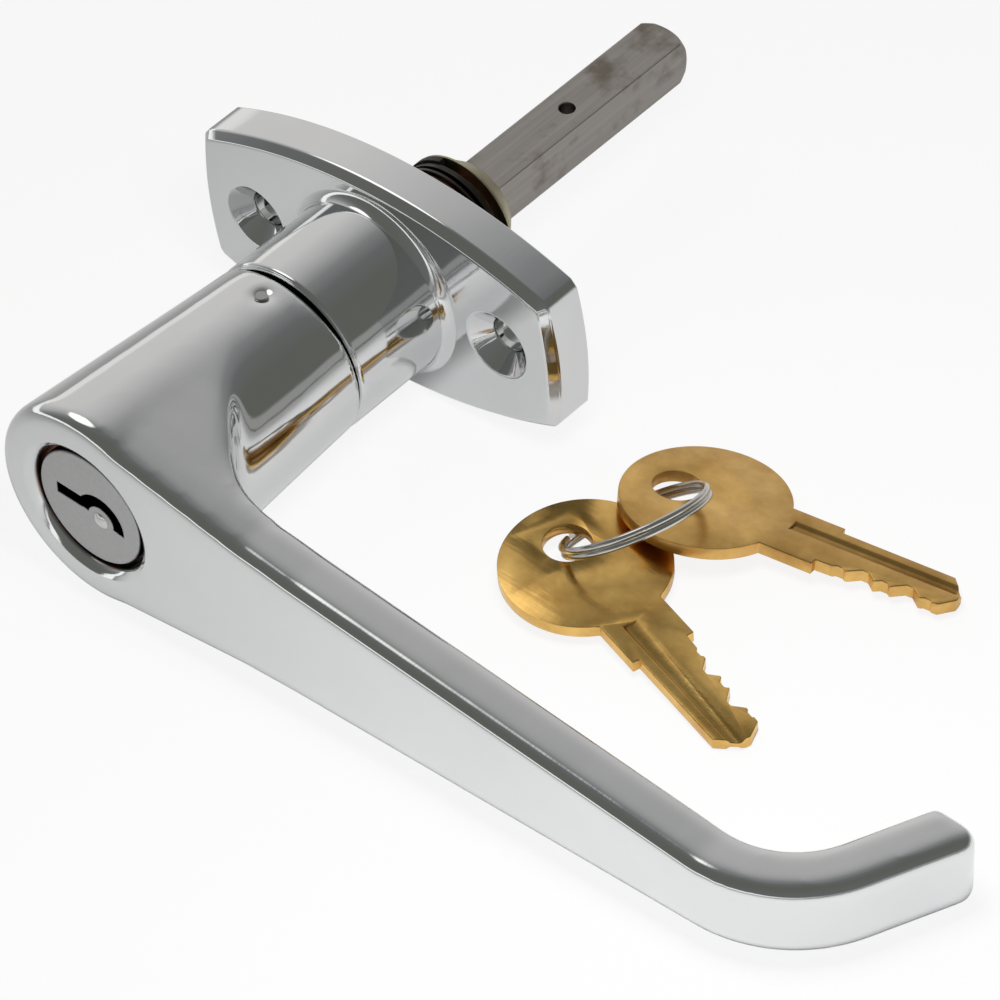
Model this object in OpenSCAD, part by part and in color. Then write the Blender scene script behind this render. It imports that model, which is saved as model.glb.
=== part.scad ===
// Cab door handle: a locking lever on a two-hole escutcheon, with a square spindle and two keys on a ring.
// Millimetres. X runs along the lever, Y along the spindle into the door, and Z is up.
// The mounting face is at y = 0 and the spindle axis is x = z = 0.

/* [Spindle] */
// Width across the flats of the square spindle
spindle_side = 7; // [6:0.5:8]
// Length of the spindle behind the mounting face, to the start of its turned end
spindle_reach = 52.2; // [40:0.1:90]
// Length of the turned end
spindle_crown = 1.9; // [0.8:0.1:3]
// Distance of the cross hole behind the mounting face
cross_hole_at = 32.3; // [22:0.1:38]
// Diameter of the cross hole
cross_hole_dia = 2.4; // [1.5:0.1:3.5]

/* [Escutcheon] */
// Length of the plate at its middle
plate_length = 63.2; // [58:0.1:76]
// Height of the plate at its middle
plate_height = 33.5; // [31:0.1:40]
// Height of the plate at its ends
plate_end_height = 21.4; // [17:0.1:25]
// Thickness of the plate
plate_thick = 7; // [5.5:0.1:9]
// How far each end bows out
plate_end_bow = 1; // [0.5:0.1:3]
// Width of the bevel round the plate's front
plate_bevel = 1.2; // [0.5:0.1:1.6]
// Wall left round the cored-out back
plate_wall = 2.2; // [1.6:0.1:3]
// Distance between the two screw holes
hole_spacing = 43.4; // [40:0.1:48]
// Diameter of the screw holes
screw_dia = 5.2; // [4:0.1:6]
// Diameter of the countersinks at the plate's front
countersink_dia = 10.3; // [8:0.1:11]
// Radius of the flare between neck and plate
neck_flare = 2.4; // [1:0.1:3]

/* [Handle] */
// Distance of the lever's flat face in front of the mounting face
handle_reach = 62.9; // [60:0.1:75]
// Distance of the seam between handle and neck in front of the mounting face
seam_at = 24; // [22:0.1:28]
// Diameter of the head at its front rim
head_dia = 31.2; // [29:0.1:36]
// Diameter of barrel and neck at the seam
seam_dia = 26.2; // [25.6:0.1:28]
// Angle by which the lever hangs below level at rest
lever_droop = 4.2; // [0:0.1:6]
// Distance from the spindle axis to the start of the bend
bend_at = 101.4; // [80:0.1:130]
// Angle of the bend at the tip
bend_angle = 66; // [40:1:75]
// Radius of the flat face through the bend
bend_radius = 20.5; // [16:0.5:24]
// Distance of the tip's end in front of the mounting face
tip_at = 35.6; // [32:0.1:40]
// Radius of the tip's outer corner
tip_nose = 2.6; // [2.5:0.1:5]
// Distance from the spindle axis to where the head's flare ends
flare_at = 36; // [28:0.5:45]
// Width of the flat face where the flare ends
flare_width = 16.4; // [14:0.1:19]
// Width of the flat face at the tip
tip_width = 7.8; // [7:0.1:12]
// Thickness of the lever
lever_thick = 8; // [7:0.1:10]
// Radius of the lever's rounded edges
lever_round = 2; // [1:0.1:2.4]
// Radius of the fillet between barrel and lever
root_fillet = 16; // [10:0.5:20]

/* [Lock] */
// Diameter of the lock's face
lock_face_dia = 17.8; // [17:0.1:18.4]
// How far the lock's face is set back in the head
lock_recess = 1; // [0.5:0.1:1.5]
// Travel of the locking bolt
bolt_throw = 2.2; // [1.6:0.1:2.4]
// Depth of each cut on the keys, in steps
key_cuts = [1, 3, 2, 4, 2];

/* [Keys] */
// Thickness of the key blanks
key_thick = 1.8; // [1.4:0.1:2.2]
// Diameter of the key's bow
bow_dia = 23; // [21:0.1:24]
// Distance from the key's hole to its tip
key_length = 41.5; // [38:0.5:48]
// Width of the blade
blade_width = 7.4; // [6.5:0.1:8.5]
// Diameter of the hole in the bow
key_hole_dia = 6.6; // [6.4:0.1:7]
// Diameter of the split ring, wire centre to wire centre
ring_dia = 20.4; // [20:0.1:21]
// Diameter of the ring's wire
ring_wire = 0.9; // [0.7:0.05:1.1]

/* [Fits] */
// Radial clearance of pieces that turn or slide in each other
running_gap = 0.05; // [0.02:0.01:0.09]
// Gap between pieces that only lie against each other
free_gap = 0.3; // [0.2:0.05:0.5]

/* [Hidden] */
$fn = 48;
eps = 0.01;

// Round sections along the spindle axis
spindle_half = spindle_side / 2;
shank_r = spindle_half * sqrt(2) + 1.85;
journal_r = shank_r + 2.2;
seam_r = seam_dia / 2;
head_r = head_dia / 2;
bush_r = journal_r + 1.2;
spigot_r = shank_r + 1.6;

// Places along the spindle axis
front = -handle_reach;
barrel_end = -seam_at - free_gap / 2;
neck_end = -seam_at + free_gap / 2;
journal_end = -1;
spigot_end = 7;
washer_at = spigot_end + free_gap;
washer_rise = 1;
thrust_at = washer_at + washer_rise;
thrust_thick = 0.8;
clip_at = thrust_at + thrust_thick + 0.15;
clip_thick = 1;
clip_depth = 1;
clip_lug_w = 3.2;
clip_mouth = 62;
shank_end = clip_at + clip_thick + 1.7;
collar_at = clip_at + clip_thick + 0.2;
collar_end = shank_end + 1.6;
socket_start = -13.5;
pin_at = -8;
seal_at = -14.7;
seal_section = 1.05;

// Plate outline
corner_x = plate_length / 2 - plate_end_bow;
corner_z = plate_end_height / 2;
edge_r = arc_radius(corner_x, (plate_height - plate_end_height) / 2);
end_r = arc_radius(corner_z, plate_end_bow);
corner_turn = 40;
corner_ease = 0.4;
plate_skin = 2.4;
screw_boss_r = countersink_dia / 2 + 0.5;

// Lock
quarter = 90;
cap_r = lock_face_dia / 2;
cap_front = front + lock_recess;
cap_back = cap_front + 1.6;
cap_gap = 0.6;
cap_skin = 0.7;
plug_r = cap_r - 0.9;
plug_back = -36.2;
tail_r = 3.4;
crank_r = 1.1;
retainer_at = -28.2;
retainer_r = 0.8;
groove_r = tail_r - 1;
stub_r = tail_r - 0.8;
stub_depth = 4;
keyway_spare = 2.5;
bolt_y = -19;
bolt_thick = 3;
bolt_w = 7.5;
bolt_out = sqrt(pow(journal_r - 0.07, 2) - pow(bolt_w / 2, 2));
bolt_in = 4.2;
keeper_depth = bolt_out + bolt_throw + 1;
keeper_half = bolt_w / 2 + keeper_depth * sin(lever_droop) + 0.25;
crank_lead = 0.22 * bolt_throw;
wafer_count = len(key_cuts);
wafer_pitch = 3;
wafer_first = cap_back + 3.2;
wafer_thick = 1;
wafer_w = 9.2;
wafer_half = sqrt(pow(plug_r - 0.1, 2) - pow(wafer_w / 2, 2));
wafer_slide = 0.8;
wafer_last = wafer_first + (wafer_count - 1) * wafer_pitch;
notch_x = 2;
notch_w = 1.3;
tooth_x = 5.2;
spring_r = 0.3;
spring_wire = 0.1;

// Lever
flat_half = flare_width / 2;
tip_half = tip_width / 2;
root_end = flare_at - 9;
root_half = flat_half + lever_round + 0.8;
lever_back = front + lever_thick;
web_sink = 0.06;
web_start = lever_back - 1;
web_meet = [root_end - root_fillet * sin(45), lever_back + root_fillet * (1 - cos(45))];
web_end = web_meet[0] + web_meet[1];
web_touch = barrel_touch(web_start);
touch_half = web_touch[1] - lever_round + web_sink;
bend_y = front + bend_radius;
tip_ease = 1.2;
nose_spare = 0.05;
tip_run = (bend_radius * cos(bend_angle) - bend_y - tip_at + lever_thick) / sin(bend_angle);

// Keys and ring as they lie on the table under the plate
table_z = -plate_height / 2;
bow_r = bow_dia / 2;
bow_offset = 4.3;
shoulder_at = 22.5;
groove_floor = key_thick / 2 - 0.5;
groove_top = key_thick / 2 + 0.1;
neck_w = blade_width + 2;
cut_step = 0.55;
cut_pitch = 3.1;
cut_first = shoulder_at + 3.4;
left_hole = [44.7, -20.7, -13.2];
left_yaw = -16.2;
right_hole = [49.9, -4.8, -12.2];
right_yaw = 10.6;
right_roll = -11;
left_pitch = asin((left_hole[2] - table_z - key_thick / 2) / key_length);
right_edge = blade_width / 2 * sin(right_roll);
right_pitch = asin((right_hole[2] - table_z - key_thick / 2 + right_edge) / key_length);
ring_centre = [51, -14.1, -9.8];
ring_turn = [2.1, -36, -18.5];

function arc_radius(half, rise) = (half * half + rise * rise) / (2 * rise);
function barrel_r(y) = head_r + (seam_r - head_r) * (y - front) / (barrel_end - front);
// Place where a line from the web's end touches the barrel, in the plane at y
function web_lean(r) = atan2(root_half, root_end) + acos(r / norm([root_end, root_half]));
function barrel_touch(y) = let (r = barrel_r(y) - web_sink) r * [cos(web_lean(r)), sin(web_lean(r))];
function wafer_y(i) = wafer_first + i * wafer_pitch;
function around(middle, half) = [middle - half, middle + half];

// Turns a profile of [radius, y] points round the spindle axis
module turned(points) rotate([-90, 0, 0]) rotate_extrude() polygon(points);

module rod(r, from, to) rotate([-90, 0, 0]) translate([0, 0, from]) cylinder(h = to - from, r = r);

module slab(x, y, z) translate([x[0], y[0], z[0]]) cube([x[1] - x[0], y[1] - y[0], z[1] - z[0]]);

// Everything that turns with the lever is drawn level and hung by the droop
module on_handle() rotate([0, lever_droop, 0]) children();

module bevelled_disc(r, z) translate([0, 0, z])
    turned([[0, -plate_thick], [r - plate_bevel, -plate_thick], [r, plate_bevel - plate_thick],
        [r, 0], [0, 0]]);

module plate_body() {
    ease_x = corner_x - corner_z / tan(corner_turn);
    ease_r = corner_z / sin(corner_turn) - corner_ease;
    intersection() {
        bevelled_disc(edge_r, edge_r - plate_height / 2);
        bevelled_disc(edge_r, plate_height / 2 - edge_r);
        translate([plate_length / 2 - end_r, 0, 0]) bevelled_disc(end_r, 0);
        translate([end_r - plate_length / 2, 0, 0]) bevelled_disc(end_r, 0);
        union() {
            for (side = [-1, 1]) translate([side * ease_x, 0, 0]) bevelled_disc(ease_r, 0);
            slab(around(0, ease_x), [-plate_thick - 1, 1], around(0, plate_height));
        }
    }
}

// Hollow of the plate's back, with the screw bosses and the neck's root left standing
module plate_coring() {
    floor_y = plate_skin - plate_thick;
    difference() {
        intersection() {
            translate([0, 0, edge_r - plate_height / 2]) rod(edge_r - plate_wall, floor_y, 1);
            translate([0, 0, plate_height / 2 - edge_r]) rod(edge_r - plate_wall, floor_y, 1);
            translate([plate_length / 2 - end_r, 0, 0]) rod(end_r - plate_wall, floor_y, 1);
            translate([end_r - plate_length / 2, 0, 0]) rod(end_r - plate_wall, floor_y, 1);
        }
        rod(bush_r + 1.6, floor_y - 1, 2);
        for (side = [-1, 1]) translate([side * hole_spacing / 2, 0, 0]) rod(screw_boss_r, floor_y - 1, 2);
    }
}

// Pockets in the neck's end that take the bolt with the lever level and with it hanging down
module bolt_keepers() for (turn = [0, quarter]) rotate([0, turn, 0])
    slab(around(0, keeper_half), [neck_end - 1, bolt_y + bolt_thick / 2 + 1.6], [-keeper_depth, 0]);

module escutcheon() color("silver") difference() {
    union() {
        plate_body();
        turned([[0, neck_end], [seam_r - 0.4, neck_end], [seam_r, neck_end + 0.4], [seam_r, -1], [0, -1]]);
        rotate([-90, 0, 0]) rotate_extrude() difference() {
            translate([seam_r - 1, -plate_thick - neck_flare]) square([neck_flare + 1, neck_flare + 0.5]);
            translate([seam_r + neck_flare - 0.1, -plate_thick - neck_flare + 0.15]) circle(neck_flare);
        }
        rod(spigot_r, -1, spigot_end);
    }
    plate_coring();
    rod(journal_r + running_gap, neck_end - 1, journal_end + free_gap);
    rod(bush_r, socket_start, journal_end + free_gap);
    rod(shank_r + running_gap, -2, spigot_end + 1);
    bolt_keepers();
    for (side = [-1, 1]) translate([side * hole_spacing / 2, 0, 0]) {
        rod(screw_dia / 2, -plate_thick - 1, 1);
        turned([[0, -plate_thick - 1], [countersink_dia / 2 + 1, -plate_thick - 1],
            [screw_dia / 2 - eps, (countersink_dia - screw_dia) / 2 - plate_thick + eps],
            [0, (countersink_dia - screw_dia) / 2 - plate_thick + eps]]);
    }
}

module neck_bush() color("darkkhaki") difference() {
    rod(bush_r, socket_start, journal_end + free_gap - 0.1);
    rod(journal_r + running_gap, socket_start - 1, 0);
}

// Lever section as [depth, height] points: a flat front and back with rounded edges
function lever_edge(depth, height, from) = [for (a = [from:-22.5:from - 90])
    [depth + lever_round * cos(a), height + lever_round * sin(a)]];
function lever_section(half) = concat(
    lever_edge(lever_round, half, 180), lever_edge(lever_thick - lever_round, half, 90),
    lever_edge(lever_thick - lever_round, -half, 0), lever_edge(lever_round, -half, -90));

// Loft of the section through stations of [distance from the axis, half width of the flat face]
module lever_loft(stations) {
    n = len(lever_section(1));
    last = len(stations) - 1;
    points = [for (s = stations) for (p = lever_section(s[1])) [s[0], front + p[0], p[1]]];
    sides = [for (i = [0:last - 1]) for (j = [0:n - 1])
        [i * n + j, i * n + (j + 1) % n, (i + 1) * n + (j + 1) % n, (i + 1) * n + j]];
    ends = [[for (j = [n - 1:-1:0]) j], [for (j = [0:n - 1]) last * n + j]];
    polyhedron(points, concat(sides, ends));
}

module lever_bend() translate([bend_at, bend_y, 0]) {
    rotate([0, 0, -90]) rotate_extrude(angle = bend_angle)
        polygon([for (p = lever_section(tip_half)) [bend_radius - p[0], p[1]]]);
    rotate([0, 0, bend_angle]) translate([0, -bend_radius, 0])
        rotate([90, 0, 90]) linear_extrude(tip_run) polygon(lever_section(tip_half));
}

// Takes the tip's end off square to the door, carries the edge's rounding on round its outer corner
module tip_trim() {
    reach = [bend_at, 2 * bend_at];
    far = 4 * lever_thick;
    inner = bend_radius - tip_nose;
    nose_y = -tip_at - tip_nose;
    along = (nose_y - bend_y + inner * cos(bend_angle)) / sin(bend_angle);
    nose_x = bend_at + inner * sin(bend_angle) + along * cos(bend_angle);
    nose_r = tip_nose - lever_round + nose_spare;
    nose_half = tip_half + nose_spare;
    slab(reach, [-tip_at, far], around(0, far));
    translate([nose_x, nose_y, 0]) difference() {
        translate([0, 0, -far]) linear_extrude(2 * far)
            polygon([[0, 0], [0, far], [far, far], far * [sin(bend_angle), -cos(bend_angle)]]);
        rotate_extrude() polygon(concat([[0, -nose_half - lever_round], [0, nose_half + lever_round]],
            lever_edge(nose_r, nose_half, 90), lever_edge(nose_r, -nose_half, 0)));
    }
    for (side = [-1, 1]) translate([0, -tip_at, side * (tip_half + lever_round - tip_ease)])
        rotate([45 * side, 0, 0]) slab(reach, [0, far], around(0, far));
}

// Half outline of the web across the spindle axis, as points in the plane at y
function web_outline(y, touch) = [[0, y, touch[1] / 2], [touch[0], y, touch[1]], [root_end, y, root_half],
    [root_end, y, -root_half], [touch[0], y, -touch[1]], [0, y, -touch[1] / 2]];

// Web that fills the corner between barrel and lever, with sides that leave the barrel along its tangents
module root_web() intersection() {
    translate([0, 0, -head_r]) linear_extrude(2 * head_r) difference() {
        polygon([[0, web_start], [root_end, lever_back - 0.3], [root_end, lever_back], web_meet,
            [0, web_end]]);
        translate([root_end, lever_back + root_fillet - 0.1]) circle(root_fillet);
    }
    polyhedron(concat(web_outline(web_start, web_touch), web_outline(web_end, barrel_touch(web_end))),
        concat([[0, 1, 2, 3, 4, 5], [11, 10, 9, 8, 7, 6]],
            [for (i = [0:5]) [i + 6, (i + 1) % 6 + 6, (i + 1) % 6, i]]));
}

module handle() color("gainsboro") on_handle() difference() {
    union() {
        turned([[0, front], [head_r - 1.9, front], [head_r - 0.6, front + 0.6], [head_r, front + 1.9],
            [seam_r, barrel_end - 0.4], [seam_r - 0.4, barrel_end], [0, barrel_end]]);
        turned([[0, barrel_end - 1], [journal_r, barrel_end - 1], [journal_r, journal_end],
            [shank_r, journal_end], [shank_r, clip_at - 0.05], [shank_r - clip_depth, clip_at - 0.05],
            [shank_r - clip_depth, clip_at + clip_thick + 0.05], [shank_r, clip_at + clip_thick + 0.05],
            [shank_r, shank_end], [0, shank_end]]);
        lever_loft([[0, touch_half], [web_touch[0], touch_half],
            [root_end, root_half - lever_round + web_sink], [flare_at, flat_half], [bend_at, tip_half]]);
        lever_bend();
        root_web();
    }
    tip_trim();
    turned([[0, front - 1], [cap_r + cap_gap + 2.1, front - 1], [cap_r + cap_gap, front + 1.1],
        [cap_r + cap_gap, cap_back + free_gap],
        [plug_r + running_gap, cap_back + free_gap], [plug_r + running_gap, plug_back + free_gap],
        [tail_r + 0.1, plug_back + free_gap], [tail_r + 0.1, bolt_y + bolt_thick / 2 + 0.1],
        [0, bolt_y + bolt_thick / 2 + 0.1]]);
    for (turn = [0, quarter]) rotate([0, turn, 0])
        slab(around(0, wafer_half + wafer_slide + 0.3), [wafer_first - 1, wafer_last + 1],
            around(0, wafer_w / 2 + 0.2));
    slab(around(0, bolt_w / 2 + running_gap), around(bolt_y, bolt_thick / 2 + running_gap),
        [-journal_r - 1, bolt_in + 0.2]);
    slab(around(0, spindle_half), [socket_start, shank_end + 1], around(0, spindle_half));
    translate([0, pin_at, 0]) rotate([0, 90, 0]) cylinder(h = 2 * journal_r + 2, r = 1.25, center = true);
    translate([0, retainer_at, 0]) cylinder(h = head_r + 1, r = retainer_r);
    rotate([-90, 0, 0]) translate([0, 0, seal_at]) rotate_extrude()
        translate([journal_r - seal_section, -seal_section / 2]) square([seal_section + 1, seal_section]);
}

module shank_seal() color("dimgray") on_handle() rotate([-90, 0, 0]) translate([0, 0, seal_at])
    rotate_extrude() translate([journal_r - seal_section / 2, 0]) circle(seal_section / 2);

module retaining_pin() color("gray") on_handle() translate([0, retainer_at, groove_r + 0.1])
    cylinder(h = seam_r - groove_r - 0.1, r = retainer_r);

// Keyway seen from the front: a straight stretch that turns over a raised ward
module keyway() {
    translate([-5.8, -0.6]) square([4.6, 1.9]);
    intersection() {
        translate([1.9, -1.1]) difference() {
            circle(4.1);
            circle(2.2);
        }
        polygon([[1.9, -1.1], [-4, 0.2], [-4, 5], [8, 5], [8, -1.9]]);
    }
}

module cut_keyway(from, to) translate([0, to, 0]) rotate([90, 0, 0]) linear_extrude(to - from) keyway();

// Slots for the wafers, each with a tooth left at one corner for the spring to push against
module wafer_room(grow) for (i = [0:wafer_count - 1]) difference() {
    slab(around(0, cap_r), around(wafer_y(i), wafer_thick / 2 + grow), around(0, wafer_w / 2 + grow));
    slab([tooth_x, cap_r + 1], around(wafer_y(i), wafer_thick), [-wafer_w, notch_w - wafer_w / 2 - 0.15]);
}

module lock_plug() color("lightgray") on_handle() difference() {
    union() {
        rod(plug_r, cap_back, plug_back);
        rod(plug_r - 0.4, cap_front + cap_skin, cap_back + 1);
    }
    cut_keyway(cap_front - 1, wafer_last + keyway_spare);
    wafer_room(running_gap);
    rod(stub_r, plug_back - stub_depth, plug_back + 1);
}

module plug_cap() color("darkgray") on_handle() {
    difference() {
        turned([[0, cap_front], [cap_r - 0.3, cap_front], [cap_r, cap_front + 0.3],
            [cap_r, cap_back], [0, cap_back]]);
        rod(plug_r - 0.4, cap_front + cap_skin, cap_back + 1);
        cut_keyway(cap_front - 1, cap_back + 1);
    }
    intersection() {
        translate([1.9, cap_front + 1.5, -1.1]) sphere(2);
        rod(cap_r, cap_front - 1, cap_front + cap_skin);
    }
}

module drive_tail() color("gray") on_handle() {
    crank_end = bolt_y + bolt_thick / 2 - 0.1;
    crank_start = bolt_y - bolt_thick / 2 - 0.2;
    difference() {
        union() {
            rod(stub_r, plug_back - stub_depth, plug_back + 1);
            rod(tail_r, plug_back, crank_start);
        }
        translate([0, retainer_at, 0]) rotate([-90, 0, 0]) difference() {
            cylinder(h = 2 * retainer_r + 0.2, r = tail_r + 1, center = true);
            cylinder(h = 2 * retainer_r + 1, r = groove_r, center = true);
        }
    }
    translate([bolt_throw, 0, 0]) rod(crank_r, crank_start - 0.5, crank_end);
}

module wafers() color("peru") on_handle() for (i = [0:wafer_count - 1]) translate([0, wafer_y(i), 0])
    rotate([90, 0, 0]) linear_extrude(wafer_thick, center = true) difference() {
        square([2 * wafer_half, wafer_w], center = true);
        translate([-4.9 - cut_step * key_cuts[i] / 4, -1.7]) square([10.2, 5]);
        translate([notch_x, -wafer_w / 2 - 1]) square([wafer_half, notch_w + 1]);
    }

// Close-wound coil along Z, drawn as a ribbed tube
module coil(r, wire, length, turns) {
    pitch = length / turns;
    ribs = [for (i = [0:turns - 1]) each [[r, i * pitch], [r + wire, (i + 0.5) * pitch]]];
    rotate_extrude() polygon(concat(ribs, [[r, length], [r - wire, length], [r - wire, 0]]));
}

module wafer_springs() color("silver") on_handle() for (i = [0:wafer_count - 1])
    translate([notch_x + 0.2, wafer_y(i), (notch_w - wafer_w) / 2 - 0.05]) rotate([0, 90, 0])
        coil(spring_r, spring_wire, tooth_x - notch_x - 0.4, 12);

module locking_bolt() color("silver") on_handle() difference() {
    slab(around(0, bolt_w / 2), around(bolt_y, bolt_thick / 2), [-bolt_out, bolt_in]);
    slab([-crank_r - 0.12, bolt_w], around(bolt_y, bolt_thick),
        [-crank_r - crank_lead - 0.12, crank_r + 0.12]);
}

module spindle() color("dimgray") on_handle() difference() {
    intersection() {
        slab(around(0, spindle_half), [socket_start + 0.1, spindle_reach + 4], around(0, spindle_half));
        turned([[0, socket_start], [2 * spindle_side, socket_start],
            [2 * spindle_side, spindle_reach - 2 * spindle_side],
            [spindle_half * 1.36, spindle_reach], [spindle_half * 1.16, spindle_reach + 0.45 * spindle_crown],
            [spindle_half * 0.7, spindle_reach + 0.85 * spindle_crown], [0, spindle_reach + spindle_crown]]);
    }
    translate([0, cross_hole_at, 0]) cylinder(h = 2 * spindle_side, r = cross_hole_dia / 2, center = true);
    translate([0, pin_at, 0]) rotate([0, 90, 0]) cylinder(h = 2 * spindle_side, r = 1.25, center = true);
}

module spindle_pin() color("gray") on_handle() translate([0, pin_at, 0]) rotate([0, 90, 0])
    cylinder(h = 2 * journal_r - 0.4, r = 1.25, center = true);

module spring_washer() color("darkgray") on_handle() turned([
    [shank_r + 0.15, washer_at + washer_rise - 0.45], [spigot_r + 0.2, washer_at],
    [spigot_r + 0.2, washer_at + 0.4], [shank_r + 0.15, washer_at + washer_rise - 0.05]]);

module thrust_washer() color("darkgray") on_handle() difference() {
    rod(spigot_r + 0.2, thrust_at, thrust_at + thrust_thick);
    rod(shank_r + 0.1, thrust_at - 1, clip_at);
}

module retaining_clip() color("black") on_handle() rotate([-90, 0, 0]) translate([0, 0, clip_at])
    linear_extrude(clip_thick) rotate(-45) {
        difference() {
            circle(spigot_r + 0.5);
            circle(shank_r + 0.3);
            polygon([[0, 0], 4 * spigot_r * [cos(clip_mouth), -sin(clip_mouth)],
                4 * spigot_r * [cos(clip_mouth), sin(clip_mouth)]]);
        }
        for (turn = [90, 180, 270]) rotate(turn) difference() {
            translate([shank_r - 2 * clip_depth, -clip_lug_w / 2])
                square([2 * clip_depth + 0.8, clip_lug_w]);
            circle(shank_r - clip_depth);
        }
    }

module spindle_collar() color("khaki") on_handle() difference() {
    turned([[0, collar_at], [spigot_r + 0.4, collar_at], [spigot_r + 0.4, collar_at + 0.3],
        [shank_r + 0.6, collar_end - 1.5], [shank_r - 0.6, collar_end], [0, collar_end]]);
    rod(shank_r, collar_at - 1, shank_end);
    slab(around(0, spindle_half), [0, collar_end + 1], around(0, spindle_half));
}

// One key in its own plane, hole at the origin and blade along X
module key_blank() difference() {
    translate([0, 0, -key_thick / 2]) linear_extrude(key_thick) difference() {
        union() {
            translate([bow_offset, 0]) circle(bow_r);
            translate([bow_offset, -neck_w / 2]) square([shoulder_at - bow_offset, neck_w]);
            polygon([[shoulder_at - 1, -blade_width / 2], [key_length - 2.4, -blade_width / 2],
                [key_length, -0.8], [key_length, 0.6], [key_length - 1.6, blade_width / 2 - 0.9],
                [shoulder_at - 1, blade_width / 2]]);
        }
        circle(key_hole_dia / 2);
        for (i = [0:wafer_count - 1]) translate([cut_first + i * cut_pitch, blade_width / 2])
            let (d = key_cuts[i] * cut_step)
                polygon([[-0.5, -d], [0.5, -d], [0.5 + d + 0.4, 0.4], [-0.5 - d - 0.4, 0.4]]);
    }
    for (side = [0, 1]) mirror([0, 0, side]) rotate([90, 0, 90]) translate([0, 0, shoulder_at - 6])
        linear_extrude(key_length) polygon([[-2.4, groove_top], [-1.9, groove_floor],
            [-1.1, groove_floor], [0.1, groove_top]]);
}

module key_left() color("goldenrod") translate(left_hole) rotate([0, left_pitch, left_yaw]) key_blank();

module key_right() color("goldenrod") translate(right_hole) rotate([right_roll, right_pitch, right_yaw])
    mirror([0, 1, 0]) key_blank();

// Two coils of the ring, pressed together, each with its own end
module split_ring() color("lightgray") translate(ring_centre) rotate(ring_turn) for (coil = [-1, 1])
    translate([0, 0, coil * ring_wire * 0.48]) rotate([0, 0, 200 + coil * 24])
        rotate_extrude(angle = 352) translate([ring_dia / 2, 0]) circle(ring_wire / 2);

escutcheon();
neck_bush();
handle();
shank_seal();
retaining_pin();
lock_plug();
plug_cap();
drive_tail();
wafers();
wafer_springs();
locking_bolt();
spindle();
spindle_pin();
spring_washer();
thrust_washer();
retaining_clip();
spindle_collar();
key_left();
key_right();
split_ring();
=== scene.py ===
# %% [markdown]
# The cab door handle, dressed
#
# The solids of this handle come ready from the CAD model. In this lesson they get their light, their
# camera and their finishes, and a few pieces are modelled again where a casting is softer than a solid.

# %% Load the solids
import math
from contextlib import contextmanager

import bpy
from mathutils import Matrix, Vector


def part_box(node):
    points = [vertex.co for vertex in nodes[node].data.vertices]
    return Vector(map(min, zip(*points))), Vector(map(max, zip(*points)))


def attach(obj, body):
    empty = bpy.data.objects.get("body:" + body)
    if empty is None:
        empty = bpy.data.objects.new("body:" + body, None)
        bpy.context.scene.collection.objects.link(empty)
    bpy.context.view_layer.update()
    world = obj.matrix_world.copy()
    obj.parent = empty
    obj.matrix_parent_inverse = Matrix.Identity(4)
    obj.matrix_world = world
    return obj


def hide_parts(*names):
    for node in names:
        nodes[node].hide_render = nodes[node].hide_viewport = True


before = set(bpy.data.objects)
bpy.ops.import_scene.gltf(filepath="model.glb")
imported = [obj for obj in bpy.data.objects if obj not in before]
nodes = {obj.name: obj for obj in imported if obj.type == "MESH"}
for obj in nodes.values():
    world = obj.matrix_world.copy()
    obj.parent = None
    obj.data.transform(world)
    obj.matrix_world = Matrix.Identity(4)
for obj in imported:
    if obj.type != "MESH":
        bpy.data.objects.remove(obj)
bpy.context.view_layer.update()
MM = 0.001

# %% [markdown]
# The camera
#
# The photograph is taken with a long lens from above and to the right. A camera could be aimed by eye, but
# here its place and its three directions were worked out from the edges of the plate, the spindle and the
# lever, so they are written down as numbers. A long lens keeps the far spindle nearly as large as the near
# tip. Lens and sensor are in millimetres, as they are for any camera.

# %% Camera
VIEW_PLACE = Vector((0.4788, -0.4558, 0.5649))
VIEW_RIGHT = Vector((0.74784, 0.65894, -0.08080))
VIEW_UP = Vector((-0.40598, 0.55024, 0.72967))
VIEW_BACK = Vector((0.52527, -0.51287, 0.67901))
LENS_LENGTH = 234
SENSOR_WIDTH = 36
FARTHEST_METRES = 20

lens = bpy.data.cameras.new("photo_lens")
lens.sensor_fit = "HORIZONTAL"
lens.sensor_width = SENSOR_WIDTH
lens.lens = LENS_LENGTH
lens.clip_end = FARTHEST_METRES
camera = bpy.data.objects.new("photo_camera", lens)
bpy.context.scene.collection.objects.link(camera)
turn = Matrix((VIEW_RIGHT, VIEW_UP, VIEW_BACK)).transposed()
camera.matrix_world = Matrix.Translation(VIEW_PLACE) @ turn.to_4x4()
bpy.context.scene.camera = camera
bpy.context.scene.view_settings.view_transform = "Standard"
print("camera at", tuple(round(v, 3) for v in VIEW_PLACE))

# %% [markdown]
# Writing shader maths
#
# A finish is a small sum: this much noise, less that much wear. Adding each node by hand hides the sum, so
# this class wraps a socket and lets Python's own operators add the Math nodes. Its one method makes any
# other node from its kind, its settings and the values of its sockets.

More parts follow.
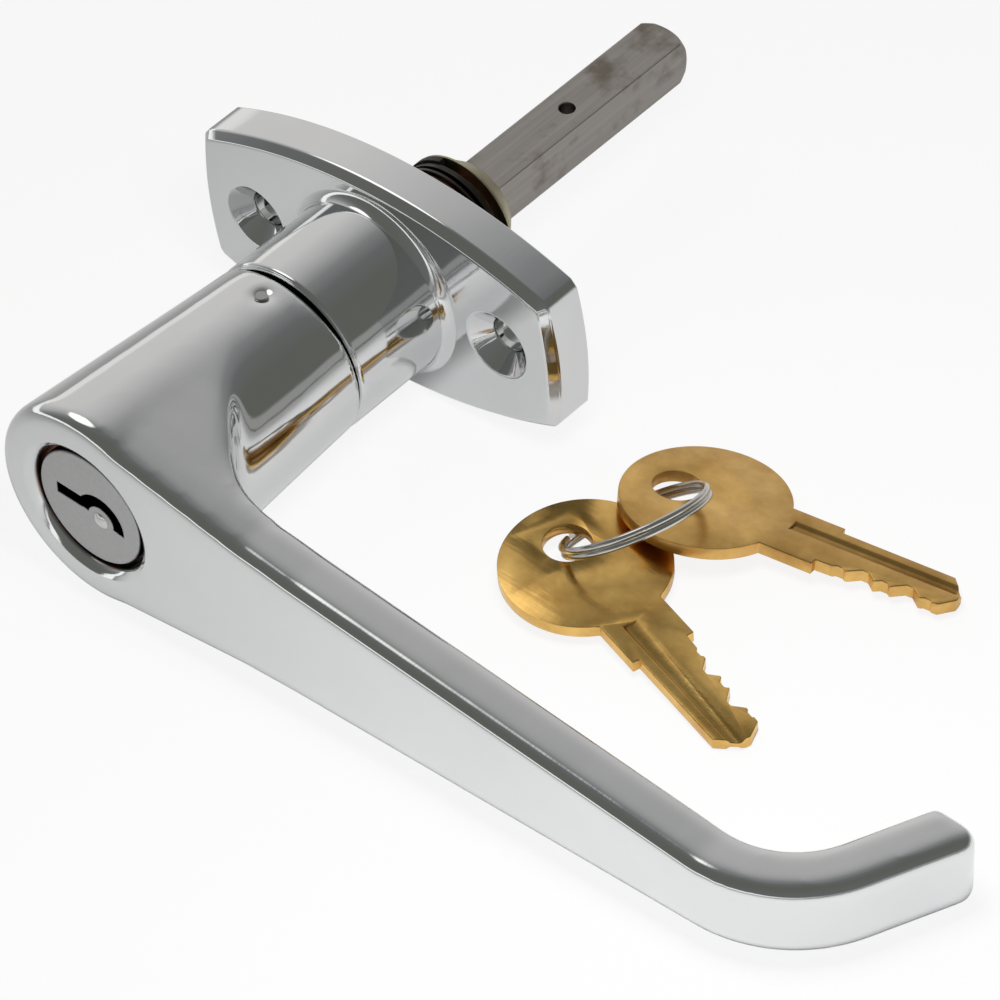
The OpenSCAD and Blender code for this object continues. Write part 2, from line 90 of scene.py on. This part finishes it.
# %% A socket that can be reckoned with
class Wire:
    def __init__(self, socket):
        self.socket = socket

    def node(self, kind, settings=None, inputs=None, out=0):
        tree = self.socket.id_data
        made = tree.nodes.new("ShaderNode" + kind)
        for name, value in (settings or {}).items():
            setattr(made, name, value)
        for name, value in (inputs or {}).items():
            if isinstance(value, Wire):
                tree.links.new(value.socket, made.inputs[name])
            else:
                made.inputs[name].default_value = value
        return Wire(made.outputs[out])

    def __add__(self, other):
        return reckoned("ADD", self, other)

    def __radd__(self, other):
        return reckoned("ADD", other, self)

    def __sub__(self, other):
        return reckoned("SUBTRACT", self, other)

    def __mul__(self, other):
        return reckoned("MULTIPLY", self, other)

    def __rmul__(self, other):
        return reckoned("MULTIPLY", other, self)

    def __truediv__(self, other):
        return reckoned("DIVIDE", self, other)

    def __pow__(self, other):
        return reckoned("POWER", self, other)


def reckoned(operation, first, second):
    wire = first if isinstance(first, Wire) else second
    return wire.node("Math", {"operation": operation}, {0: first, 1: second})


print("shader maths ready")

# %% [markdown]
# Ramps, mixes and noise
#
# A few kinds of node come back in nearly every finish, so each gets a short name here. A single number stands
# for a grey of that strength. The Mix node has sockets for numbers, vectors and colours under the same names,
# so its colour sockets are picked by their place in the list.

# %% Short names for common nodes
MIX_UNDER, MIX_OVER, MIX_RESULT = 6, 7, 2


def shade(value):
    if isinstance(value, Wire):
        return value
    if isinstance(value, (int, float)):
        return (value, value, value, 1)
    return (*value, 1)


def ramp(wire, stops):
    made = wire.node("ValToRGB", None, {"Fac": wire})
    steps = made.socket.node.color_ramp.elements
    steps.remove(steps[1])
    steps[0].position = stops[0][0]
    steps[0].color = shade(stops[0][1])
    for place, tone in stops[1:]:
        steps.new(place).color = shade(tone)
    return made


def mixed(mask, under, over):
    inputs = {"Factor": mask, MIX_UNDER: shade(under), MIX_OVER: shade(over)}
    return mask.node("Mix", {"data_type": "RGBA"}, inputs, MIX_RESULT)


def noise(where, scale, detail, roughness=0.5):
    inputs = {"Vector": where, "Scale": scale, "Detail": detail, "Roughness": roughness}
    return where.node("TexNoise", None, inputs)


def stretched(where, size):
    return where.node("Mapping", None, {"Vector": where, "Scale": size})


def along(where, axis):
    return where.node("SeparateXYZ", None, {"Vector": where}, axis)


print("short names ready")

# %% [markdown]
# The room
#
# Chrome shows nothing but its surroundings, so the surroundings are the finish. One large soft window stands
# behind the handle to the left, a pale strip of wall shows just above the table, a small light hangs overhead
# and the rest of the room is dim. That gives the pale left side, the dark right side and the fine dark and
# bright lines along the lever's edge. The camera itself sees plain white in place of the room.

# %% Room
WINDOW = Vector((-0.75, 0.60, 0.30)).normalized()
OVERHEAD = Vector((-0.53, 0.00, 0.85)).normalized()
FRONT_LEFT = (-0.6, -0.8, 0)
UPWARDS = (0, 0, 1)
DIM = (0.13, 0.133, 0.12)
SHADE = (0.15, 0.155, 0.155)
GREY = (0.24, 0.245, 0.245)
HAZE = (0.47, 0.47, 0.46)
BRIGHT = (0.58, 0.58, 0.57)
PALE = (0.66, 0.65, 0.635)
WALL_LIGHT = (1.15, 1.15, 1.13)
OVERHEAD_LIGHT = (1.6, 1.58, 1.54)

world = bpy.data.worlds.new("studio")
bpy.context.scene.world = world
world.use_nodes = True
sky_nodes = world.node_tree.nodes
heading = Wire(sky_nodes.new("ShaderNodeTexCoord").outputs["Generated"])


def towards(place):
    inputs = {0: heading, 1: tuple(place)}
    return heading.node("VectorMath", {"operation": "DOT_PRODUCT"}, inputs, "Value")


def facing(place):
    return towards(place) * 0.5 + 0.5


room = ramp(facing(WINDOW), [(0.0, SHADE), (0.40, DIM), (0.56, DIM), (0.70, SHADE),
                             (0.80, GREY), (0.90, HAZE), (0.955, BRIGHT), (0.985, PALE)])
low_wall = ramp(facing(UPWARDS), [(0.502, 0.0), (0.515, 0.9), (0.565, 0.9), (0.585, 0.0)])
wall = low_wall * ramp(facing(FRONT_LEFT), [(0.45, 0.2), (0.8, 1.0)])
strip = ramp(towards(OVERHEAD), [(0.955, 0.0), (0.975, 0.85)])
lit_room = mixed(strip, mixed(wall, room, WALL_LIGHT), OVERHEAD_LIGHT)
seen = heading.node("LightPath", out="Is Camera Ray")
sky = mixed(seen, lit_room, 1.0)
world.node_tree.links.new(sky.socket, sky_nodes["Background"].inputs["Color"])
print("room of", len(sky_nodes), "nodes")

# %% [markdown]
# The table and its lamp
#
# The photograph's background is burnt out to white. So the camera sees the table mostly by a glow of its own,
# and the chrome sees it mostly by the light that falls on it. That light comes from one small lamp above the
# handle. It is hidden from mirrored rays, so that it doesn't show as a white disc in the chrome.

# %% Table and lamp
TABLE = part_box("key_left")[0].z - 0.2 * MM
TABLE_METRES = 6
PAPER_TONE = 0.9
SEEN_GLOW = 0.88
MIRRORED_GLOW = 0.1
LAMP_PLACE = (0.11, -0.07, 0.17)
LAMP_METRES = 0.08
LAMP_WATTS = 0.29

bpy.ops.object.select_all(action="DESELECT")
bpy.ops.mesh.primitive_plane_add(size=TABLE_METRES, location=(0, 0, TABLE))
table = bpy.context.object
table.name = "table"
paper = bpy.data.materials.new("table_paper")
paper.use_nodes = True
paper_nodes = paper.node_tree.nodes
paper_nodes.remove(paper_nodes["Principled BSDF"])
rays = paper_nodes.new("ShaderNodeLightPath").outputs
glowing = Wire(rays["Is Camera Ray"]) * SEEN_GLOW + Wire(rays["Is Glossy Ray"]) * MIRRORED_GLOW
matt = glowing.node("BsdfDiffuse", None, {"Color": shade(PAPER_TONE)})
glow = glowing.node("Emission", None, {"Color": shade(1.0), "Strength": 1.0})
white = glowing.node("MixShader", None, {0: glowing, 1: matt, 2: glow})
paper.node_tree.links.new(white.socket, paper_nodes["Material Output"].inputs["Surface"])
table.data.materials.append(paper)

light = bpy.data.lights.new("table_lamp", "AREA")
light.shape = "DISK"
light.size = LAMP_METRES
light.energy = LAMP_WATTS
lamp = bpy.data.objects.new("table_lamp", light)
bpy.context.scene.collection.objects.link(lamp)
lamp.location = LAMP_PLACE
lamp.visible_glossy = False
print("table at", round(TABLE / MM, 2), "mm")

# %% [markdown]
# Putting on a finish
#
# Every finish is one Principled shader, with its marks laid out in object coordinates so that they move with
# the piece. These helpers start a finish, feed a value into it, roughen its surface and put it on pieces. A
# bump can also round the edges in the shading, where a piece has no bevel of its own.

# %% Helpers for finishes
EDGE_SAMPLES = 6


def finish(name, metallic=1.0):
    material = bpy.data.materials.new(name)
    material.use_nodes = True
    shader = material.node_tree.nodes["Principled BSDF"]
    shader.inputs["Metallic"].default_value = metallic
    where = Wire(material.node_tree.nodes.new("ShaderNodeTexCoord").outputs["Object"])
    return material, shader, where


def feed(shader, socket, value):
    if isinstance(value, Wire):
        shader.id_data.links.new(value.socket, shader.inputs[socket])
    else:
        shader.inputs[socket].default_value = value


def bumped(shader, height, strength, depth, edge=None):
    inputs = {"Height": height, "Strength": strength, "Distance": depth}
    if edge:
        inputs["Normal"] = height.node("Bevel", {"samples": EDGE_SAMPLES}, {"Radius": edge})
    feed(shader, "Normal", height.node("Bump", None, inputs))


def wear(material, *names):
    for name in names:
        nodes[name].data.materials.clear()
        nodes[name].data.materials.append(material)


print("helpers ready")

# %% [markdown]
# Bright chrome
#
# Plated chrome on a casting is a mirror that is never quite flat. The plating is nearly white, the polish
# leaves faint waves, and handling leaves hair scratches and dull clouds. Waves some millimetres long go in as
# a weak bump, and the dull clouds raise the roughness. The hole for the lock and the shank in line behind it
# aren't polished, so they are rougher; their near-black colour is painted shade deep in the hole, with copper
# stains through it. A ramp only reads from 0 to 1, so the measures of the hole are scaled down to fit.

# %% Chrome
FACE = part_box("handle")[0].y
BORE = 9.5 * MM

chrome, chrome_shader, spot = finish("bright_chrome")
clouds = noise(spot, 55, 3)
scratches = noise(stretched(spot, (1, 0.05, 1)), 2600, 2)
off_axis = (along(spot, "X") ** 2 + along(spot, "Z") ** 2) / BORE ** 2
set_back = (along(spot, "Y") - FACE) / MM
in_hole = ramp(off_axis * 0.5, [(0.515, 1.0), (0.53, 0.0)])
# painted shade: from half a millimetre behind the face, the wall of the hole is coloured near-black
unpolished_and_shaded = in_hole * ramp(set_back * 0.1, [(0.05, 0.0), (0.14, 1.0)])
stains = ramp(noise(spot, 160, 2), [(0.45, 0.0), (0.62, 1.0)])
bright_tone = mixed(clouds, (0.84, 0.85, 0.86), (0.74, 0.745, 0.75))
# painted shade in near-black, mixed with copper stains, for the wall of the hole
hole_shade_and_stain_tone = mixed(stains, (0.025, 0.022, 0.02), (0.30, 0.13, 0.07))
feed(chrome_shader, "Base Color", mixed(unpolished_and_shaded, bright_tone, hole_shade_and_stain_tone))
feed(chrome_shader, "Roughness", 0.03 + 0.07 * clouds ** 2 + 0.03 * scratches + 0.3 * unpolished_and_shaded)
bumped(chrome_shader, noise(spot, 130, 1) + 0.05 * scratches, strength=0.12, depth=0.4 * MM)
wear(chrome, "handle", "escutcheon")
print("chrome reaches in from y =", round(FACE / MM, 2), "mm")

# %% [markdown]
# Tools for modelling again
#
# Four pieces are modelled again over their solids. Each starts as a copy of its solid, with points that share
# a place merged into one. The other helpers pick a piece, edit all of it, apply one modifier, cut it with a
# tool piece, turn it about the spindle's axis, and clear away the slivers that cuts and bevels leave.

# %% Modelling helpers
SAME_PLACE = 0.004 * MM
SLIVER_GAP = 0.03 * MM
SLIVER_EDGE = 0.04 * MM


def picked(piece):
    bpy.ops.object.select_all(action="DESELECT")
    piece.select_set(True)
    bpy.context.view_layer.objects.active = piece


@contextmanager
def editing(piece):
    picked(piece)
    bpy.ops.object.mode_set(mode="EDIT")
    bpy.ops.mesh.select_all(action="SELECT")
    yield
    bpy.ops.object.mode_set(mode="OBJECT")


def copy_of(node, name):
    copy = bpy.data.objects.new(name, nodes[node].data.copy())
    bpy.context.scene.collection.objects.link(copy)
    with editing(copy):
        bpy.ops.mesh.remove_doubles(threshold=SAME_PLACE)
    return copy


def modified(piece, kind, **settings):
    picked(piece)
    change = piece.modifiers.new(kind.lower(), kind)
    for name, value in settings.items():
        setattr(change, name, value)
    bpy.ops.object.modifier_apply(modifier=change.name)


def cut(piece, tool):
    modified(piece, "BOOLEAN", operation="DIFFERENCE", object=tool, solver="EXACT")
    bpy.data.objects.remove(tool)


def turned(piece, angle):
    picked(piece)
    piece.rotation_euler = (0, angle, 0)
    bpy.ops.object.transform_apply()


def slivers_gone(piece):
    with editing(piece):
        bpy.ops.mesh.remove_doubles(threshold=SLIVER_GAP)
        bpy.ops.mesh.dissolve_degenerate(threshold=SLIVER_EDGE)


print("modelling helpers ready")

# %% [markdown]
# Where the polishing wheel reaches
#
# The lever, head and barrel are one zinc casting, ground and polished before it is plated, so no edge on it
# is sharp and the web at the lever's root runs into the barrel without a line. The lock's hole is left alone,
# and the rub of the whole skin stops at the seam with the plate. The first functions here give a point of
# the casting its weight, from 0 for left alone to 1 for fully rubbed down, and the last one puts such weights
# into a vertex group. The web is the same above and below the lever, so a point below counts as one above.

# %% Weights for polishing
SEAM = -25.2 * MM
HOLE_RADIUS = 10.2 * MM
HOLE_START = 2.6 * MM
WEB_ENDS = (Vector((15.5, -50, 6)) * MM, Vector((2, -36, 14)) * MM)
WEB_REACH = 16 * MM
WEB_FADE = 9 * MM
RIM = 2.5 * MM
RIM_FADE = 4 * MM


def clipped(value):
    return min(1, max(0, value))


def in_bore(place):
    return math.hypot(place.x, place.z) < HOLE_RADIUS and place.y > FACE + HOLE_START


def near_web(place):
    if in_bore(place):
        return 0.0
    place = Vector((place.x, place.y, abs(place.z)))
    start, end = WEB_ENDS
    run = end - start
    share = clipped((place - start).dot(run) / run.length_squared)
    away = (place - start - run * share).length
    behind_rim = clipped((place.y - FACE - RIM) / RIM_FADE)
    return clipped((WEB_REACH - away) / WEB_FADE) * behind_rim


def polished(place):
    return 0.0 if in_bore(place) or place.y > SEAM else 1.0


def grouped(piece, name, weigh):
    group = piece.vertex_groups.new(name=name)
    for vertex in piece.data.vertices:
        weight = weigh(vertex.co)
        if weight:
            group.add([vertex.index], weight, "REPLACE")


print("weights ready")

# %% [markdown]
# The casting
#
# The solid has crisp edges where the casting is soft. A copy of it is given an even skin of small squares by
# the Remesh modifier, and rubbed down by the Smooth modifier, which does what the polishing wheel did. The
# root is rubbed down longer than the rest. The Remesh modifier works on an upright grid, and an edge that
# crosses its rows at a small angle comes out beaded, so the copy is turned until the lever's top edge lies
# along the rows, and turned back. The lock's seat is cut after polishing, so its mouth is filled first.

# %% Polished casting
SKIN = 0.43 * MM
TOP_EDGE = math.radians(7.96)
FILLING_SIDES = 96
FILLING_RADIUS = 11 * MM
FILLING_DEPTH = 3 * MM
RUB = 0.5
ROOT_RUBS = 130
SKIN_RUBS = 20

casting = copy_of("handle", "lever_casting")
bpy.ops.mesh.primitive_cylinder_add(vertices=FILLING_SIDES, radius=FILLING_RADIUS, depth=FILLING_DEPTH,
                                    location=(0, FACE + FILLING_DEPTH / 2, 0), rotation=(math.pi / 2, 0, 0))
filling = bpy.context.object
picked(casting)
filling.select_set(True)
bpy.ops.object.join()
turned(casting, -TOP_EDGE)
modified(casting, "REMESH", mode="VOXEL", voxel_size=SKIN)
turned(casting, TOP_EDGE)
grouped(casting, "root", near_web)
grouped(casting, "skin", polished)
modified(casting, "SMOOTH", factor=RUB, iterations=ROOT_RUBS, vertex_group="root")
modified(casting, "SMOOTH", factor=RUB, iterations=SKIN_RUBS, vertex_group="skin")
print("casting faces:", len(casting.data.polygons))

# %% [markdown]
# The seat of the lock
#
# The seat is turned after polishing, so its steps are crisp and its lip is round. The cutter has the shape of
# the seat: a disc, drawn out and resized from step to step. Each step is a radius and a depth behind the
# head's face, both in millimetres.

# %% Turned seat of the lock
SEAT_SIDES = 128
SEAT = [(11.4, -0.5), (10.7, 0.08), (10.2, 0.35), (9.8, 0.75), (9.5, 1.3), (9.5, 2.7), (8.3, 2.75),
        (8.3, 3.6), (7.3, 4.0)]


def turned_cutter(steps):
    radius, start = steps[0]
    bpy.ops.object.select_all(action="DESELECT")
    bpy.ops.mesh.primitive_circle_add(vertices=SEAT_SIDES, radius=radius * MM, fill_type="NGON",
                                      location=(0, FACE + start * MM, 0), rotation=(math.pi / 2, 0, 0))
    bpy.ops.object.transform_apply()
    cutter = bpy.context.object
    with editing(cutter):
        for (last, before), (wide, depth) in zip(steps, steps[1:]):
            deeper = (0, (depth - before) * MM, 0)
            bpy.ops.mesh.extrude_region_move(TRANSFORM_OT_translate={"value": deeper})
            bpy.ops.transform.resize(value=(wide / last, 1, wide / last))
        bpy.ops.mesh.select_all(action="SELECT")
        bpy.ops.mesh.normals_make_consistent(inside=False)
    return cutter


cut(casting, turned_cutter(SEAT))
print("casting faces with its seat:", len(casting.data.polygons))

# %% [markdown]
# The slots of the wafers
#
# When the key comes out, the wafers spring sideways into a slot in the head, and that is what holds the plug.
# There is one slot for the locked plug and one for the open plug, a quarter turn on. They could be left as
# the remeshed skin has them, but then their walls are rough and the wafers scrape them. They are broached
# instead, as on the real casting: a plain block, turned to the lever's droop, is taken away.

# %% Broached slots
DROOP = math.radians(4.2)
SLOT_SIZE = (15.2, 14.2, 9.8)
SLOT_START = 4.7 * MM
SLOT_MIDDLE = FACE + SLOT_START + SLOT_SIZE[1] * MM / 2
CASTING_CREASE = math.radians(40)

for quarter in (0, math.pi / 2):
    bpy.ops.object.select_all(action="DESELECT")
    bpy.ops.mesh.primitive_cube_add(size=MM, location=(0, SLOT_MIDDLE, 0))
    broach = bpy.context.object
    broach.scale = SLOT_SIZE
    turned(broach, DROOP + quarter)
    cut(casting, broach)

slivers_gone(casting)
bpy.ops.object.shade_smooth_by_angle(angle=CASTING_CREASE)
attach(casting, "lever")
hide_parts("handle")
print("casting faces with its slots:", len(casting.data.polygons))

# %% [markdown]
# The plate
#
# The escutcheon is the same kind of casting, but its faces are ground flat before it is plated, so its edges
# stay crisp. The same skin and rub would make it look like a pebble. Instead its flat faces are joined up,
# the Bevel modifier breaks its edges by a little over half a millimetre, and the Weighted Normal modifier
# lets the large flat faces mirror as flat ones right up to the flare of the neck.

# %% Polished plate
PLATE_FLAT = math.radians(0.5)
PLATE_EDGE = 0.6 * MM
PLATE_EDGE_STEPS = 4
PLATE_CREASE = math.radians(35)
FLAT_FACES_FIRST = 100


def faces_joined(piece, angle):
    with editing(piece):
        bpy.ops.mesh.dissolve_limited(angle_limit=angle)


def edges_broken(piece, width, steps, crease):
    modified(piece, "BEVEL", width=width, segments=steps, limit_method="ANGLE", angle_limit=crease)


plate = copy_of("escutcheon", "plate_casting")
faces_joined(plate, PLATE_FLAT)
edges_broken(plate, PLATE_EDGE, PLATE_EDGE_STEPS, PLATE_CREASE)
bpy.ops.object.shade_smooth_by_angle(angle=PLATE_CREASE)
modified(plate, "WEIGHTED_NORMAL", keep_sharp=True, weight=FLAT_FACES_FIRST)
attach(plate, "plate")
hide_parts("escutcheon")
print("plate faces:", len(plate.data.polygons))

# %% [markdown]
# The lock
#
# The lock's face is satin nickel with a fine grain. The ward beside the keyway stands a little proud and is
# rubbed bright, and the keyway's inside is painted near-black as the shade deep in the slot. The plug behind
# the face is bare zinc, and its front end is painted near-black too, as the shade behind the lock's face.

# %% Lock
CAP = FACE + 1.0 * MM
# painted shade: the near-black colour of the keyway's inside and of the plug's front end
PAINTED_SHADE = (0.010, 0.011, 0.016)

satin, satin_shader, spot = finish("satin_nickel")
brush = noise(stretched(spot, (1, 0.02, 1)), 2200, 3)
depth = (along(spot, "Y") - CAP) / MM * 0.5 + 0.5
# painted shade: the keyway's inside turns near-black from 0.08 mm behind the lock's face, fully by 0.2 mm
inside = ramp(depth, [(0.54, 0.0), (0.6, 1.0)])
ward = ramp(depth, [(0.44, 1.0), (0.485, 0.0)])
cap_tone = mixed(ward, mixed(brush, (0.50, 0.50, 0.50), (0.42, 0.42, 0.425)), (0.72, 0.72, 0.72))
feed(satin_shader, "Base Color", mixed(inside, cap_tone, PAINTED_SHADE))
feed(satin_shader, "Roughness", 0.24 + 0.16 * brush - 0.16 * ward)
bumped(satin_shader, brush, strength=0.1, depth=0.2 * MM, edge=0.2 * MM)
wear(satin, "plug_cap")

zinc, zinc_shader, spot = finish("bare_zinc")
grain = noise(spot, 900, 4)
# painted shade: the plug is near-black up to 5 mm behind the lock's face, fading out by 9 mm
plug_front_shade = ramp((along(spot, "Y") - CAP) / MM * 0.1, [(0.5, 1.0), (0.9, 0.0)])
zinc_tone = mixed(grain, (0.5, 0.5, 0.49), (0.34, 0.34, 0.33))
feed(zinc_shader, "Base Color", mixed(plug_front_shade, zinc_tone, PAINTED_SHADE))
feed(zinc_shader, "Roughness", 0.35 + 0.25 * grain)
bumped(zinc_shader, grain, strength=0.2, depth=0.2 * MM)
wear(zinc, "lock_plug", "drive_tail")
print("lock's face at y =", round(CAP / MM, 2), "mm")

# %% [markdown]
# Pins, washers and other small pieces
#
# A small piece needs only a grain: one noise that moves its roughness, and on some its colour and its bump.
# The pins and springs are ground steel, the washers are very dark steel, the clip is blackened, and the
# collar is zinc with a yellow passivation. The bush is sintered bronze, the seal is rubber and the wafers are
# stamped brass. Roughness is given as its least value and what the grain adds to it.

# %% Small pieces
def grained(name, pieces, tones, scale, detail, roughness, stretch=(1, 1, 1), contrast=1, bump=None,
            metallic=1.0):
    material, shader, where = finish(name, metallic)
    marks = noise(stretched(where, stretch), scale, detail)
    least, added = roughness
    feed(shader, "Base Color", mixed(marks ** contrast, *tones) if len(tones) > 1 else shade(tones[0]))
    feed(shader, "Roughness", least + added * marks)
    if bump:
        bumped(shader, marks, **bump)
    wear(material, *pieces)


grained("ground_steel", ["retaining_pin", "spindle_pin", "locking_bolt", "wafer_springs"],
        tones=[(0.5, 0.5, 0.5)], scale=1800, detail=2, roughness=(0.18, 0.2), stretch=(1, 1, 0.05),
        bump={"strength": 0.1, "depth": 0.1 * MM})
# the washers are coloured near-black steel
grained("dark_steel", ["spring_washer", "thrust_washer"],
        tones=[(0.10, 0.09, 0.08), (0.03, 0.027, 0.025)], scale=500, detail=3, roughness=(0.22, 0.2))
grained("blackened_steel", ["retaining_clip"],
        tones=[(0.012, 0.011, 0.011), (0.09, 0.085, 0.08)], scale=700, detail=3, roughness=(0.3, 0.3),
        contrast=3, bump={"strength": 0.15, "depth": 0.2 * MM, "edge": 0.2 * MM}, metallic=0.6)
grained("yellow_zinc", ["spindle_collar"],
        tones=[(0.72, 0.66, 0.48), (0.40, 0.36, 0.22)], scale=320, detail=3, roughness=(0.3, 0.2),
        bump={"strength": 0.1, "depth": 0.2 * MM, "edge": 0.2 * MM})
grained("sintered_bronze", ["neck_bush"],
        tones=[(0.58, 0.39, 0.20), (0.30, 0.19, 0.09)], scale=2500, detail=2, roughness=(0.4, 0.3))
grained("seal_rubber", ["shank_seal"],
        tones=[(0.02, 0.02, 0.02)], scale=1500, detail=2, roughness=(0.5, 0.3),
        bump={"strength": 0.1, "depth": 0.1 * MM}, metallic=0.0)
grained("stamped_brass", ["wafers"],
        tones=[(0.62, 0.42, 0.16)], scale=1500, detail=2, roughness=(0.28, 0.2), stretch=(0.1, 1, 1))
print("finishes so far:", len(bpy.data.materials))

# %% [markdown]
# The spindle
#
# Drawn square bar has faint lines along its length, and stock that has lain in a box is stained brown in
# places. The lines are noise stretched along the bar, and the stains are a second, larger noise.

# %% Spindle
bar, bar_shader, spot = finish("drawn_steel")
lines = noise(stretched(spot, (1, 0.03, 1)), 1400, 3)
stain = ramp(noise(spot, 120, 4, 0.65), [(0.5, 0.0), (0.68, 1.0)])
steel_tone = mixed(lines, (0.47, 0.44, 0.415), (0.34, 0.315, 0.295))
feed(bar_shader, "Base Color", mixed(stain * 0.7, steel_tone, (0.20, 0.165, 0.125)))
feed(bar_shader, "Roughness", 0.26 + 0.14 * lines + 0.15 * stain)
bumped(bar_shader, lines, strength=0.25, depth=0.2 * MM, edge=0.3 * MM)
wear(bar, "spindle")
print("spindle finished in", bar.name)

# %% [markdown]
# Keys and ring
#
# The keys are rolled brass, warm and a little tarnished in patches. A mirror-sharp edge would catch no light,
# so a copy of each key is merged, its flat faces are joined up and the Bevel modifier breaks its edges by a
# sixth of a millimetre. One key is more polished than the other. The ring is nickel plated wire.

# %% Keys and ring
POLISHED = ((1.0, 0.65, 0.21), (0.66, 0.39, 0.11))
SATIN = ((0.95, 0.60, 0.20), (0.62, 0.36, 0.11))
KEY_FLAT = math.radians(1)
KEY_EDGE = 0.16 * MM
KEY_EDGE_STEPS = 2
KEY_CREASE = math.radians(30)


def key_finish(name, dull, tones):
    brass, shader, where = finish(name)
    patches = noise(where, 130, 4, 0.6)
    tarnish = ramp(patches, [(0.32, 0.0), (0.66, 1.0)])
    rolling = noise(stretched(where, (0.06, 1, 1)), 1500, 2)
    feed(shader, "Base Color", mixed(tarnish, *tones))
    feed(shader, "Roughness", dull + 0.14 * patches + 0.06 * rolling)
    bumped(shader, patches + 0.4 * rolling, strength=0.16, depth=0.3 * MM)
    return brass


def softened_key(node, name, body, material):
    wear(material, node)
    blank = copy_of(node, name)
    faces_joined(blank, KEY_FLAT)
    edges_broken(blank, KEY_EDGE, KEY_EDGE_STEPS, KEY_CREASE)
    slivers_gone(blank)
    bpy.ops.object.shade_smooth_by_angle(angle=KEY_CREASE)
    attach(blank, body)
    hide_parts(node)
    print(name, "faces:", len(blank.data.polygons))


softened_key("key_left", "left_key_blank", "left_key", key_finish("polished_brass", 0.12, POLISHED))
softened_key("key_right", "right_key_blank", "right_key", key_finish("satin_brass", 0.24, SATIN))
grained("nickel_wire", ["split_ring"],
        tones=[(0.72, 0.70, 0.66)], scale=900, detail=2, roughness=(0.1, 0.12))
print("finishes:", len(bpy.data.materials))
